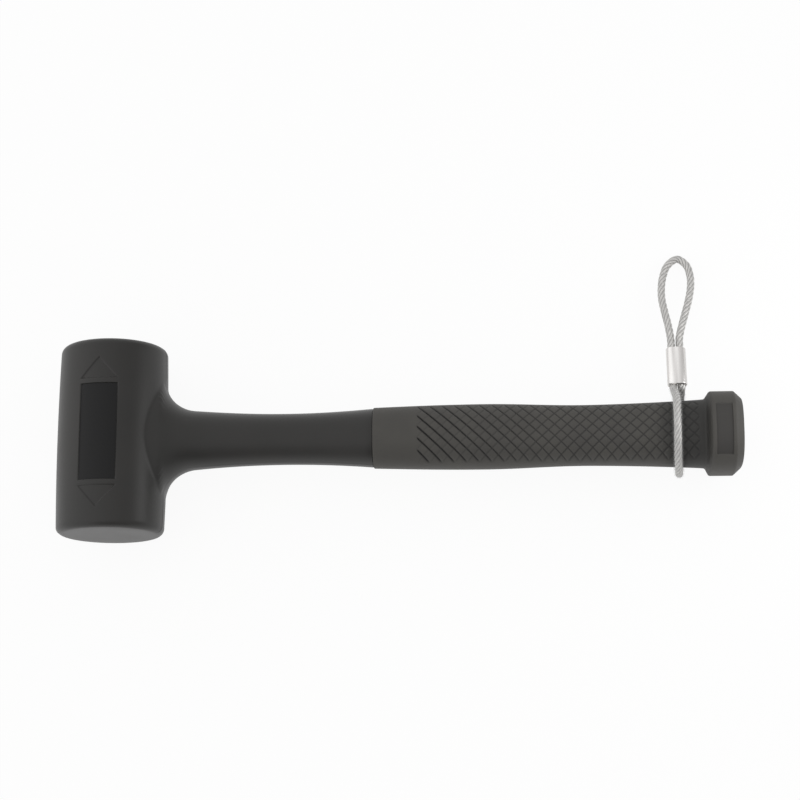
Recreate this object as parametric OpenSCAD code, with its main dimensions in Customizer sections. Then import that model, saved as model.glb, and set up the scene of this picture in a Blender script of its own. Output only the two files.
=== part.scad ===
// Dead blow hammer with a wire-rope tether, lying on its side on z = 0.
// Every piece is drawn about the centre of the head: +X along the handle to the butt,
// +Y along the head, +Z up. rest() then lays the hammer down on its head and its butt.

/* [Head] */
// Diameter at the fullest part of the barrel-shaped head
head_d = 52; // [48:0.2:56]
// Length from one striking face to the other
head_len = 90.2; // [84:0.2:100]
// Fall of the radius from the middle of the head to its rims
barrel_drop = 0.6; // [0.2:0.1:1.2]
// Rounding of the rim round each striking face
rim_r = 3.6; // [2:0.2:6]
// Width of the bare label panel, across the head
panel_w = 18; // [10:0.2:20]
// Length of the bare label panel, along the head
panel_len = 45.8; // [30:0.2:48]
// Depth of the label panel and of the arrowheads
mark_depth = 0.5; // [0.3:0.1:1]
// Width of the engraved line of an arrowhead
mark_line = 0.7; // [0.5:0.1:1.4]
// Turn of the marks round the head, away from the handle
mark_turn = 6; // [0:0.5:8]

/* [Neck] */
// Height of the neck at its waist, along the head's direction
neck_h = 24.2; // [22:0.1:27]
// Distance of the waist from the head's axis
neck_waist_x = 83; // [76:1:88]
// Radius of the long hollow curve of the neck
neck_curve_r = 480; // [400:10:700]
// Distance of the neck's end, at the grip, from the head's axis
neck_end_x = 124.3; // [120:0.1:128]
// Thickness of the handle as a share of its height
oval = 0.94; // [0.86:0.01:0.96]
// Reach of the fillet along the neck
fillet_len = 14.5; // [10:0.5:18]
// Rise of the fillet along the head
fillet_rise = 13; // [7:0.5:14]
// Rise of the web where the neck meets the round of the head
web_rise = 4; // [2:0.2:6]

/* [Grip] */
// Height of the grip at its front end
grip_front_h = 28.6; // [26:0.1:31]
// Height of the grip at the palm swell
swell_h = 30.7; // [28:0.1:34]
// Height of the grip at its waist
grip_waist_h = 28.5; // [26:0.1:31]
// Height of the grip at the foot of the butt
grip_tail_h = 32.1; // [30:0.1:32.8]
// Height of the butt
butt_h = 38.4; // [37:0.2:46]
// Depth of the butt, which keeps the tether's loop off the table
butt_d = 42.4; // [42:0.2:46]
// Height of the chamfer round the end of the butt
butt_chamfer = 3.4; // [2:0.1:5]
// Length of that chamfer along the handle
butt_chamfer_len = 3.8; // [2:0.1:5]
// Whole reach from the head's axis to the end of the butt
butt_end_x = 296.8; // [286:0.2:320]
// Length of the butt with its flare
butt_len = 17.6; // [16:0.2:19]
// Length of the bare panel on the butt, along the handle
butt_panel_len = 7.6; // [4:0.2:8]
// Width of that panel, across the handle
butt_panel_w = 24.2; // [16:0.2:28]
// Shift of that panel across the handle
butt_panel_y = -1.6; // [-4:0.2:0]
// Depth of that panel
butt_panel_depth = 0.5; // [0.3:0.1:0.8]
// Pitch of the knurl along the handle
knurl_pitch_x = 5.86; // [5:0.02:7]
// Pitch of the knurl across the handle
knurl_pitch_y = 5.52; // [5:0.02:6.8]
// Depth of the knurl's grooves
groove_depth = 0.6; // [0.3:0.1:0.9]
// Width of the knurl's grooves
groove_w = 0.8; // [0.5:0.1:1.4]

/* [Canister] */
// Outer diameter of the canister
can_d = 41; // [38:0.2:42]
// Wall of the canister
can_wall = 2; // [1.5:0.1:2.5]
// Urethane between a striking face and the canister
face_pad = 10; // [7:0.5:13]
// Thickness of each end cap
cap_t = 4; // [3:0.5:5]
// Diameter of a ball of shot
shot_d = 7; // [6:0.1:7]
// Rows of shot along the canister
shot_rows = 6; // [4:1:6]

/* [Rod] */
// Diameter of the steel rod in the handle
rod_d = 10; // [8:0.5:12]
// Distance of the rod's end from the end of the butt
rod_back = 34.8; // [27:0.2:56]

/* [Tether] */
// Diameter of the wire rope
rope_d = 3.7; // [3.2:0.1:3.8]
// Outer diameter of the clear sleeve on the loop
sleeve_d = 5; // [4.7:0.1:5.2]
// Distance of the tether from the end of the butt
tether_back = 28.2; // [27:0.2:35]
// Width of the ferrule across both legs of the rope
ferrule_w = 9.4; // [9:0.1:10]
// Thickness of the ferrule
ferrule_t = 5.8; // [5:0.1:7]
// Length of the ferrule
ferrule_len = 19.8; // [16:0.2:20]

/* [Fits] */
// Room round the canister and the rod for the moulding and the glue
bond_gap = 0.15; // [0.1:0.05:0.3]
// Radial room between a cap and the canister
cap_gap = 0.05; // [0.03:0.01:0.1]
// Room between two balls of shot
shot_gap = 0.3; // [0.2:0.1:0.4]
// Shadow gap between the neck and the grip
seam_gap = 0.25; // [0.2:0.05:0.5]
// Room between the loop and the grip inside it
loop_gap = 0.35; // [0.3:0.05:0.8]
// Radial room of the rope in the ferrule and in the sleeve
rope_gap = 0.06; // [0.04:0.01:0.1]

/* [Hidden] */
$fn = 96;
eps = 0.01;

// Head
head_r = head_d / 2;
head_half = head_len / 2;
rim_x = head_r - barrel_drop;
rim_in_x = rim_x - rim_r + 0.02;
barrel_r = (pow(head_half - rim_r, 2) + barrel_drop * barrel_drop) / (2 * barrel_drop);
arrow_foot_y = panel_len / 2 + 2.6;
arrow_tip_y = arrow_foot_y + 10;

// Neck and its sections
neck_sides = 40;
neck_in_x = 11;
fillet_in_x = head_r - 0.9;
fillet_out_x = head_r + 0.5;
fillet_x = fillet_in_x + fillet_len;
web_x = 48;
web_in_x = 17;
neck_steps = 28;

// Grip and its sections
grip_front_x = neck_end_x + seam_gap;
swell_x = 177;
grip_waist_x = 223;
butt_foot_x = butt_end_x - butt_len;
butt_front_x = butt_foot_x + 2.8;
butt_edge_x = butt_end_x - butt_chamfer_len;
butt_panel_x = (butt_front_x + butt_edge_x - butt_panel_len) / 2 + 0.2;
butt_square = 2.6;
grip_square = 2.2;
knurl_x = 145.2;
knurl_cols = floor((butt_foot_x - 1.6 - knurl_x) / (knurl_pitch_x / 2));
knurl_rows = 2 * floor((grip_waist_h / 2 - 0.4) / (knurl_pitch_y / 2));
side_steps = 5;

// Rod, canister and shot
rod_end_x = butt_end_x - rod_back;
can_r = can_d / 2;
can_bore = can_r - can_wall;
can_half = head_half - face_pad;
shot_step = shot_d + shot_gap;
cap_r = can_bore - cap_gap;

// Tether
tether_x = butt_end_x - tether_back;
sleeve_r = sleeve_d / 2;
rope_r = rope_d / 2;
loop_r = grip_half(tether_x + sleeve_d) + loop_gap + sleeve_r;
leg_x = rope_r + 0.16;
ferrule_in = loop_r + 6.6;
ferrule_out = ferrule_in + ferrule_len;
rope_sides = 8;
rope_fine = 2;
// Points of the eye beyond the ferrule: across the tether from its outgoing leg, and out along it
eye_route = [
    [0.1, 5.5], [1.6, 12.2], [3.7, 19.6], [5.7, 27], [6.9, 34], [6.8, 40.2], [5.2, 45.6],
    [0.9, 48.9],
    [-3.8, 45.4], [-6.2, 39.6], [-7.3, 33], [-7.3, 26.6], [-6.2, 19.4], [-4.9, 12.4], [-4.1, 5.5],
];
// Places of the loop along the handle, at even turns round the grip from the leg above it to the leg below
loop_lean = [-1.95, -2.2, -2.4, -2.4, -2.1, -1.4, -0.6, 0.2, 0.8, 1.1, 1.2];

// Rest on the table: the head's round and the lower edge of the butt touch z = 0
butt_half_z = butt_d / 2;
rest_tilt = asin(head_r / norm([butt_edge_x, butt_half_z])) - atan2(butt_half_z, butt_edge_x);
reach_x = butt_end_x * cos(rest_tilt) + (butt_half_z - butt_chamfer) * sin(rest_tilt);
centre_x = (reach_x - head_r) / 2;
eye_tip = ferrule_out + max([for (p = eye_route) p[1]]);
axis_z = head_r - tether_x * sin(rest_tilt);
droop = asin((axis_z - rope_r - 0.1) / eye_tip);

module rest() {
    translate([-centre_x, 0, head_r])
        rotate([0, rest_tilt, 0])
            children();
}

function unit(v) = v / norm(v);

// A closed skin over rings with the same number of points, with a flat face at each end
module skin(rings) {
    n = len(rings[0]);
    last = len(rings) - 1;
    polyhedron(
        points = [for (ring = rings) each ring],
        faces = [
            [for (j = [0:n - 1]) j],
            for (i = [0:last - 1], j = [0:n - 1])
                [i * n + j, (i + 1) * n + j, (i + 1) * n + (j + 1) % n, i * n + (j + 1) % n],
            [for (j = [n - 1:-1:0]) last * n + j],
        ]
    );
}

// Head: a barrel with rounded rims, turned about Y, with its skin set in by a depth
module barrel(inset = 0) {
    rotate([90, 0, 0])
        rotate_extrude()
            intersection() {
                translate([head_r - inset - barrel_r, 0])
                    circle(r = barrel_r, $fn = 1440);
                union() {
                    translate([0, rim_r - head_half])
                        square([head_r, head_len - 2 * rim_r]);
                    translate([0, -head_half])
                        square([rim_in_x, head_len]);
                    for (end = [-1, 1])
                        translate([rim_in_x, end * (head_half - rim_r)])
                            circle(r = rim_r);
                }
            }
}

// Neck: oval sections along X, with a fillet up the head and a web onto its round
function neck_half(x) = neck_h / 2 + pow(x - neck_waist_x, 2) / (2 * neck_curve_r);
function fillet(x) = x >= fillet_x ? 0
    : fillet_rise * (1 - sqrt(1 - pow(min(1, (fillet_x - x) / fillet_len), 2)));
function web(x) = x >= web_x ? 0 : web_rise * pow((web_x - max(x, web_in_x)) / (web_x - web_in_x), 2);
function neck_x(i) = i < 12 ? neck_in_x + (fillet_in_x - neck_in_x) * i / 12
    : i == 12 ? fillet_in_x
    : i < 20 ? fillet_out_x + (fillet_x - fillet_out_x) * (1 - cos(90 * (i - 13) / 7))
    : fillet_x + (neck_end_x - fillet_x) * (i - 20) / (neck_steps - 20);
function neck_ring(x) = let (half = neck_half(max(x, fillet_in_x)))
    [for (j = [0:neck_sides - 1]) let (a = 360 * j / neck_sides)
        [x, (half + fillet(x)) * cos(a), (oval * half + web(x)) * sin(a)]];

module neck() {
    skin([for (i = [0:neck_steps]) neck_ring(neck_x(i))]);
}

// Marks on the upper side of the head: the bare label panel and an arrowhead towards each face
module marks() {
    difference() {
        rotate([0, -mark_turn, 0]) {
            translate([-panel_w / 2, -panel_len / 2, 0])
                cube([panel_w, panel_len, head_d]);
            for (end = [0, 1])
                mirror([0, end, 0])
                    linear_extrude(head_d)
                        arrowhead();
        }
        barrel(mark_depth);
    }
}

module arrowhead() {
    difference() {
        polygon([[-panel_w / 2, arrow_foot_y], [panel_w / 2, arrow_foot_y], [0, arrow_tip_y]]);
        polygon([
            [-panel_w / 2 + 2.2 * mark_line, arrow_foot_y + mark_line],
            [panel_w / 2 - 2.2 * mark_line, arrow_foot_y + mark_line],
            [0, arrow_tip_y - 1.5 * mark_line],
        ]);
    }
}

// Moulded urethane head and neck, cast round the canister and the rod
module head_casing() {
    color("dimgray")
        difference() {
            union() {
                barrel();
                neck();
            }
            marks();
            rotate([90, 0, 0])
                cylinder(r = can_r + bond_gap, h = 2 * can_half + 2 * bond_gap, center = true);
            rotate([0, 90, 0])
                cylinder(d = rod_d + 2 * bond_gap, h = neck_end_x + 1);
        }
}

// Half height of the grip: front end, palm swell, waist and tail, then the flare and the butt
function between_x(x, from, to) = (x - from) / (to - from);
function rise(from, to, share) = (from + (to - from) * share) / 2;
function grip_half(x) = x < swell_x
    ? rise(grip_front_h, swell_h, sin(90 * between_x(x, grip_front_x, swell_x)))
    : x < grip_waist_x
    ? rise(swell_h, grip_waist_h, (1 - cos(180 * between_x(x, swell_x, grip_waist_x))) / 2)
    : rise(grip_waist_h, grip_tail_h, pow(between_x(x, grip_waist_x, butt_foot_x), 1.65));

// Sections of the grip: place along X, half height, half depth and squareness of the oval
function grip_section(x, less = 0) = [x, grip_half(x) - less, oval * grip_half(x) - less, grip_square];
function butt_section(x, share, square) = [x,
    grip_tail_h / 2 + (butt_h - grip_tail_h) / 2 * share,
    oval * grip_tail_h / 2 + (butt_d - oval * grip_tail_h) / 2 * share,
    square];
front_sections = [
    grip_section(grip_front_x, 0.5),
    grip_section(grip_front_x + 0.5),
    for (i = [1:4]) grip_section(grip_front_x + (knurl_x - grip_front_x) * i / 5),
];
knurl_sections = [for (i = [0:knurl_cols]) grip_section(knurl_x + i * knurl_pitch_x / 2)];
butt_sections = [
    butt_section(butt_foot_x, 0, 2.3),
    butt_section(butt_foot_x + 0.8, 0.18, 2.4),
    butt_section(butt_front_x - 0.4, 0.88, 2.5),
    butt_section(butt_front_x, 0.97, butt_square),
    butt_section(butt_front_x + 0.6, 1, butt_square),
    butt_section(butt_edge_x, 1, butt_square),
    [butt_end_x, butt_h / 2 - butt_chamfer, butt_d / 2 - butt_chamfer, butt_square],
];
grip_sections = concat(front_sections, knurl_sections, butt_sections);
knurl_first = len(front_sections);
knurl_last = knurl_first + knurl_cols;

// Points round a section: the rows of the upper panel, one side, the rows of the lower panel, the other side
panel_y = knurl_rows * knurl_pitch_y / 4;
panel_turn = asin(panel_y / (grip_waist_h / 2));
turns = [
    for (k = [0:knurl_rows]) asin((2 * k / knurl_rows - 1) * panel_y / (grip_waist_h / 2)),
    for (s = [1:side_steps - 1]) panel_turn + (180 - 2 * panel_turn) * s / side_steps,
    for (k = [0:knurl_rows]) 180 + asin((2 * k / knurl_rows - 1) * panel_y / (grip_waist_h / 2)),
    for (s = [1:side_steps - 1]) 180 + panel_turn + (180 - 2 * panel_turn) * s / side_steps,
];
grip_sides = len(turns);
lower_panel = knurl_rows + side_steps;

function power(v, p) = sign(v) * pow(abs(v), p);

// Point on a section's outline, by its turn from +Z towards -Y
function oval_point(s, turn) = [s[0], -s[1] * power(sin(turn), 2 / s[3]), s[2] * power(cos(turn), 2 / s[3])];

// Point on the same outline straight above or below a place across the grip
function plan_point(s, y, side) = [s[0], y, side * s[2] * pow(1 - pow(abs(y) / s[1], s[3]), 1 / s[3])];

// Place of a point set in along the outline's normal
function set_in(p, s, depth) = p - depth * unit([0,
    power(p[1] / s[1], s[3] - 1) / s[1],
    power(p[2] / s[2], s[3] - 1) / s[2]]);

function in_panel(j) = j <= knurl_rows || (j >= lower_panel && j <= lower_panel + knurl_rows);
function row_of(j) = j <= knurl_rows ? j : j - lower_panel;
function side_of(j) = j <= knurl_rows ? 1 : -1;
function is_groove(i, j) = in_panel(j) && i > knurl_first && i < knurl_last
    && row_of(j) > 0 && row_of(j) < knurl_rows && (i - knurl_first + row_of(j)) % 2 == 0;

// Point of the plain grip, on the straight rows of a knurled panel or on the oval elsewhere
function grip_point(i, j) = let (s = grip_sections[i])
    in_panel(j) && i >= knurl_first && i <= knurl_last
    ? plan_point(s, side_of(j) * (1 - 2 * row_of(j) / knurl_rows) * panel_y, side_of(j))
    : oval_point(s, turns[j]);
function knurl_point(i, j) = let (p = grip_point(i, j))
    is_groove(i, j) ? set_in(p, grip_sections[i], groove_depth) : p;

// Shoulder of a groove, on the plain grip between the middle of a pad and a groove crossing
shoulder = 1 - groove_w / 2 / sin(atan2(knurl_pitch_y, knurl_pitch_x)) / (knurl_pitch_x / 2);
function is_pad(i, j) = (i - knurl_first + row_of(j)) % 2 == 1;
function shoulder_point(i, j, i2, j2) = let (a = grip_point(i, j), b = grip_point(i2, j2))
    is_pad(i, j) ? a + (b - a) * shoulder : b + (a - b) * shoulder;

// Numbers of the points: the sections first, then the shoulders along X, then those across
sections = len(grip_sections);
panel_js = [for (j = [0:grip_sides - 1]) if (in_panel(j)) j];
across_js = [for (j = panel_js) if (row_of(j) < knurl_rows) j];
along_0 = sections * grip_sides;
across_0 = along_0 + knurl_cols * len(panel_js);
function at(i, j) = i * grip_sides + j % grip_sides;
function panel_index(j) = j <= knurl_rows ? j : j - lower_panel + knurl_rows + 1;
function across_index(j) = j < knurl_rows ? j : j - lower_panel + knurl_rows;
function along(i, j) = along_0 + (i - knurl_first) * len(panel_js) + panel_index(j);
function across(i, j) = across_0 + (i - knurl_first) * len(across_js) + across_index(j);

// Faces of one cell of a panel: two corners of pads and the two walls of the groove between them
function knurl_cell(i, j) = let (a = at(i, j), b = at(i + 1, j), c = at(i + 1, j + 1), d = at(i, j + 1),
    ab = along(i, j), bc = across(i + 1, j), cd = along(i, j + 1), da = across(i, j))
    is_pad(i, j)
    ? [[bc, c, cd], [b, bc, cd, d], [da, a, ab], [d, da, ab, b]]
    : [[ab, b, bc], [a, ab, bc, c], [cd, d, da], [c, cd, da, a]];

// Faces of one cell elsewhere, which takes in the shoulders on the edge of a panel beside it
function plain_cell(i, j) = let (in_x = i >= knurl_first && i < knurl_last, j2 = (j + 1) % grip_sides,
    first = in_x && in_panel(j), second = in_x && in_panel(j2),
    row = in_panel(j) && in_panel(j2))
    first ? [[at(i + 1, j2), at(i, j2), at(i, j), along(i, j), at(i + 1, j)]]
    : second ? [[at(i, j), at(i + 1, j), at(i + 1, j2), along(i, j2), at(i, j2)]]
    : row && i == knurl_first - 1 ? [[at(i, j), at(i + 1, j), across(i + 1, j), at(i + 1, j2), at(i, j2)]]
    : row && i == knurl_last ? [[at(i + 1, j2), at(i, j2), across(i, j), at(i, j), at(i + 1, j)]]
    : [[at(i, j), at(i + 1, j), at(i + 1, j2), at(i, j2)]];

function cell(i, j) = i >= knurl_first && i < knurl_last && in_panel(j) && row_of(j) < knurl_rows
    ? knurl_cell(i, j) : plain_cell(i, j);

module knurled_grip() {
    polyhedron(
        points = [
            for (i = [0:sections - 1], j = [0:grip_sides - 1]) knurl_point(i, j),
            for (i = [knurl_first:knurl_last - 1], j = panel_js) shoulder_point(i, j, i + 1, j),
            for (i = [knurl_first:knurl_last], j = across_js) shoulder_point(i, j, i, j + 1),
        ],
        faces = [
            [for (j = [0:grip_sides - 1]) j],
            for (i = [0:sections - 2], j = [0:grip_sides - 1]) each cell(i, j),
            [for (j = [grip_sides - 1:-1:0]) at(sections - 1, j)],
        ]
    );
}

// Shallow bare panel on the upper side of the butt, at one depth below its crown
module butt_panel() {
    difference() {
        translate([butt_panel_x, butt_panel_y - butt_panel_w / 2, 0])
            cube([butt_panel_len, butt_panel_w, butt_d]);
        skin([for (x = [butt_front_x, butt_end_x]) [for (j = [0:71]) oval_point(
            [x, butt_h / 2 - butt_panel_depth, butt_d / 2 - butt_panel_depth, butt_square], 5 * j)]]);
    }
}

// Rubber grip sleeve with its butt, glued on the rod
module grip() {
    color("darkslategray")
        difference() {
            knurled_grip();
            butt_panel();
            translate([grip_front_x - 1, 0, 0])
                rotate([0, 90, 0])
                    cylinder(d = rod_d + 2 * bond_gap, h = rod_end_x - grip_front_x + 1 + bond_gap);
        }
}

// Steel rod, cut to sit on the round of the canister and welded to it
module handle_rod() {
    color("silver")
        difference() {
            rotate([0, 90, 0])
                cylinder(d = rod_d, h = rod_end_x);
            rotate([90, 0, 0])
                cylinder(r = can_r + eps, h = 2 * can_half, center = true);
        }
}

// Steel canister for the shot
module canister_tube() {
    color("lightsteelblue")
        rotate([90, 0, 0])
            difference() {
                cylinder(r = can_r, h = 2 * can_half, center = true);
                cylinder(r = can_bore, h = 2 * can_half + 1, center = true);
            }
}

module canister_cap() {
    translate([0, can_half - cap_t, 0])
        rotate([-90, 0, 0])
            cylinder(r = cap_r, h = cap_t);
}

module canister_cap_upper() {
    color("slategray")
        canister_cap();
}

module canister_cap_lower() {
    color("slategray")
        mirror([0, 1, 0])
            canister_cap();
}

// Loose shot, in rows of a ball, a ring of 6 and a ring of 12
module steel_shot() {
    color("gainsboro")
        for (row = [0:shot_rows - 1], ring = [0:2], i = [0:max(1, 6 * ring) - 1])
            translate([0, (row - (shot_rows - 1) / 2) * shot_step, 0])
                rotate([0, 60 * i / max(1, ring), 0])
                    translate([ring * shot_step, 0, 0])
                        sphere(d = shot_d, $fn = 32);
}

// Route of the rope from the tether's own centre on the handle's axis: along the handle, out along the
// tether, and up from it. It starts in the ferrule, goes round the grip, back through the ferrule and
// round the eye, and ends in the ferrule.
function loop_point(turn, lean) = [lean, loop_r * cos(turn), loop_r * sin(turn)];
rope_route = concat(
    [for (share = [0.55, 0.25, 0]) [-leg_x, ferrule_in + share * ferrule_len, 0]],
    [[-leg_x, ferrule_in - 3.2, 2.6], [-leg_x + 0.05, ferrule_in - 7.4, 7.6]],
    [for (i = [0:10]) loop_point(46 + 26.8 * i, loop_lean[i])],
    [[leg_x - 0.8, ferrule_in - 7.4, -7.6], [leg_x - 0.3, ferrule_in - 3.2, -2.6]],
    [for (share = [0, 0.3, 0.6, 1]) [leg_x, ferrule_in + share * ferrule_len, 0]],
    [for (p = eye_route) [p[0] + leg_x, ferrule_out + p[1], 0]],
    [for (share = [0, 0.25]) [-leg_x, ferrule_out - share * ferrule_len, 0]]
);

// Smooth line through the points of a route
function between(a, b, c, d, t) = (2 * b + (c - a) * t + (2 * a - 5 * b + 4 * c - d) * t * t
    + (3 * b - a - 3 * c + d) * t * t * t) / 2;
function smooth(p, m) = [
    for (i = [0:len(p) - 2], k = [0:m - 1])
        between(p[max(i - 1, 0)], p[i], p[i + 1], p[min(i + 2, len(p) - 1)], k / m),
    p[len(p) - 1],
];
rope_line = smooth(rope_route, rope_fine);
rope_last = len(rope_line) - 1;
rope_dir = [for (i = [0:rope_last]) unit(rope_line[min(i + 1, rope_last)] - rope_line[max(i - 1, 0)])];

// Side direction carried along the line without twist
function square_to(v, dir) = unit(v - (v * dir) * dir);
rope_side = [for (i = 0, v = [1, 0, 0]; i <= rope_last;
    i = i + 1, v = i <= rope_last ? square_to(v, rope_dir[i]) : v) square_to(v, rope_dir[i])];
function rope_ring(i, r) = [for (j = [0:rope_sides - 1]) let (a = 360 * j / rope_sides)
    rope_line[i] + r * (cos(a) * rope_side[i] + sin(a) * cross(rope_dir[i], rope_side[i]))];

module tether() {
    translate([tether_x, 0, 0])
        rotate([-droop, 0, 0])
            children();
}

// Wire rope
module tether_rope() {
    color("lightgray")
        tether()
            skin([for (i = [0:rope_last]) rope_ring(i, rope_r)]);
}

// Aluminium ferrule swaged over both legs of the rope
module ferrule() {
    color("silver")
        tether()
            translate([0, ferrule_in, 0])
                rotate([-90, 0, 0])
                    linear_extrude(ferrule_len)
                        difference() {
                            union() {
                                for (side = [-1, 1])
                                    translate([side * (ferrule_w - ferrule_t) / 2, 0])
                                        circle(d = ferrule_t);
                                square([ferrule_w - ferrule_t, ferrule_t], center = true);
                            }
                            for (side = [-1, 1])
                                translate([side * leg_x, 0])
                                    circle(r = rope_r + rope_gap);
                        }
}

// Clear sleeve on the loop, between the two legs' entries to the ferrule
sleeve_first = 3 * rope_fine;
sleeve_last = sleeve_first + 14 * rope_fine;

module loop_sleeve() {
    n = rope_sides;
    m = sleeve_last - sleeve_first;
    color("azure", 0.5)
        tether()
            polyhedron(
                points = [
                    for (i = [sleeve_first:sleeve_last]) each rope_ring(i, sleeve_r),
                    for (i = [sleeve_first:sleeve_last]) each rope_ring(i, rope_r + rope_gap),
                ],
                faces = [
                    for (i = [0:m - 1], j = [0:n - 1])
                        [i * n + j, (i + 1) * n + j, (i + 1) * n + (j + 1) % n, i * n + (j + 1) % n],
                    for (i = [m + 1:2 * m], j = [0:n - 1])
                        [i * n + j, i * n + (j + 1) % n, (i + 1) * n + (j + 1) % n, (i + 1) * n + j],
                    for (j = [0:n - 1])
                        [j, (j + 1) % n, (m + 1) * n + (j + 1) % n, (m + 1) * n + j],
                    for (j = [0:n - 1])
                        [m * n + j, (2 * m + 1) * n + j, (2 * m + 1) * n + (j + 1) % n, m * n + (j + 1) % n],
                ]
            );
}

rest() head_casing();
rest() grip();
rest() handle_rod();
rest() canister_tube();
rest() canister_cap_upper();
rest() canister_cap_lower();
rest() steel_shot();
rest() tether_rope();
rest() ferrule();
rest() loop_sleeve();
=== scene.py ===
import bpy
import numpy as np
from math import cos, pi, radians, sin
from mathutils import Matrix, Vector


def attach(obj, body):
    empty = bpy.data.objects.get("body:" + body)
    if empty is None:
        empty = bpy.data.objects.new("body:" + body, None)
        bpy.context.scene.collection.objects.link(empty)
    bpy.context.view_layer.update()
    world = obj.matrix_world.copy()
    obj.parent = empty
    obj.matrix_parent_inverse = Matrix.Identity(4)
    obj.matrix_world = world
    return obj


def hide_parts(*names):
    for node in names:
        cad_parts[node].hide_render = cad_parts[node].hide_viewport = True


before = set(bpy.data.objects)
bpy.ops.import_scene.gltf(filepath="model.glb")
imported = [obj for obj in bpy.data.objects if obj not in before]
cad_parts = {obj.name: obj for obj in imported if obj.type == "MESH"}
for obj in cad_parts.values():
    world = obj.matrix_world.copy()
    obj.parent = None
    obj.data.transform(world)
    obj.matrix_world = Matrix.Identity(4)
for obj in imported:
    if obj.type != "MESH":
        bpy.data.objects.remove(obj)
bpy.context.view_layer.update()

# Canister and rod: a length of drawn mild steel tube closed by two discs, with the handle's rod welded to
# its side before the casting. They keep the CAD's own meshes, with a thin grey oxide from the weld.
MM_PER_M, DRAW_LINE = 1000, 1.2


def linear(colour):
    """Linear light of an sRGB hex colour, with an alpha of 1."""
    s = np.array([int(colour[i:i + 2], 16) for i in (1, 3, 5)]) / 255
    return (*np.where(s <= 0.04045, s / 12.92, ((s + 0.055) / 1.055) ** 2.4).tolist(), 1.0)


def add_node(owner, kind, links=None, **settings):
    """Adds a node to a material or a world. Settings named for a property of the node go there, the others
    on the sockets of those names. Links join sockets to an output of another node, or to a node's first."""
    node = owner.node_tree.nodes.new(kind)
    for name, value in settings.items():
        if hasattr(node, name):
            setattr(node, name, value)
        else:
            node.inputs[name.replace("_", " ")].default_value = value
    for socket, source in (links or {}).items():
        source = source.outputs[0] if isinstance(source, bpy.types.Node) else source
        owner.node_tree.links.new(node.inputs[socket], source)
    return node


def new_material(name):
    """Material with no node but the one for its object coordinates, and these coordinates."""
    material = bpy.data.materials.new(name)
    material.use_nodes = True
    material.node_tree.nodes.clear()
    return material, add_node(material, "ShaderNodeTexCoord").outputs["Object"]


# Drawn mild steel: grey with lines along the draw, some of them dull with oxide.
mild_steel, place = new_material("drawn_mild_steel")
drawn = add_node(mild_steel, "ShaderNodeMapping", {"Vector": place}, Scale=(0.04, 0.2, 1))
lines = add_node(mild_steel, "ShaderNodeTexNoise", {"Vector": drawn}, Scale=MM_PER_M / DRAW_LINE, Detail=4.0)
share = add_node(mild_steel, "ShaderNodeMapRange", {"Value": lines}, From_Min=0.3, From_Max=0.7)
tone = add_node(mild_steel, "ShaderNodeMixRGB", {"Fac": share},
                Color1=linear("#77777a"), Color2=linear("#a8a8a9"))
polish = add_node(mild_steel, "ShaderNodeMapRange", {"Value": lines}, To_Min=0.3, To_Max=0.55)
shader = add_node(mild_steel, "ShaderNodeBsdfPrincipled", {"Base Color": tone, "Roughness": polish},
                  Metallic=1.0)
add_node(mild_steel, "ShaderNodeOutputMaterial", {"Surface": shader})
for name in ("handle_rod", "canister_tube", "canister_cap_upper", "canister_cap_lower"):
    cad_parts[name].data.materials.clear()
    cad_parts[name].data.materials.append(mild_steel)

# Shot: loose hardened steel balls, which run up the canister after each blow and stop the rebound. They
# are dulled and scuffed by rubbing on each other.
SHOT_D, SHOT_STEP, SHOT_ROWS, SHOT_RINGS = 7.0, 7.3, 6, (1, 6, 12)
BALL_SIDES, BALL_BANDS, SCUFF = 12, 6, 1.5

# The hammer lies on its side: the round of its head and the lower edge of its butt touch the table. Every
# piece is drawn in millimetres about the centre of the head, +X along the handle to the butt, +Y along the
# head and +Z up, and is then laid down with that small tilt.
HEAD_R, CENTRE_X, REST_TILT = 26.0, 135.52595, radians(0.939233)
LAY = np.array([[cos(REST_TILT), 0, sin(REST_TILT)], [0, 1, 0], [-sin(REST_TILT), 0, cos(REST_TILT)]])


def lay_down(points):
    """Points in mm about the head's centre, tilted about Y, moved over the table and given in metres."""
    return (np.asarray(points, float) @ LAY.T + [-CENTRE_X, 0, HEAD_R]) / MM_PER_M


def skin_faces(rings, around, closed=False):
    """Four-cornered faces between neighbouring rings of a tube whose points are numbered ring by ring; a
    closed tube's last ring joins its first."""
    i, j = np.meshgrid(np.arange(rings if closed else rings - 1), np.arange(around), indexing="ij")
    a, b, k = i * around, (i + 1) % rings * around, (j + 1) % around
    return np.stack([a + j, a + k, b + k, b + j], -1).reshape(-1, 4)


def merge(points, quads, *values, close=1e-4):
    """Points closer than a step become one. Faces take the new numbers, those that lose a corner become
    triangles and those that lose two go. Values at the points are kept with them."""
    _, keep, number = np.unique(np.round(points / close).astype(np.int64), axis=0,
                                return_index=True, return_inverse=True)
    quads = number.ravel()[quads]
    same = quads == np.roll(quads, -1, 1)
    once = [np.delete(quads[same[:, k] & (same.sum(1) == 1)], k, 1) for k in range(4)]
    return points[keep], [quads[~same.any(1)], np.concatenate(once)], *[v[keep] for v in values]


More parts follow.
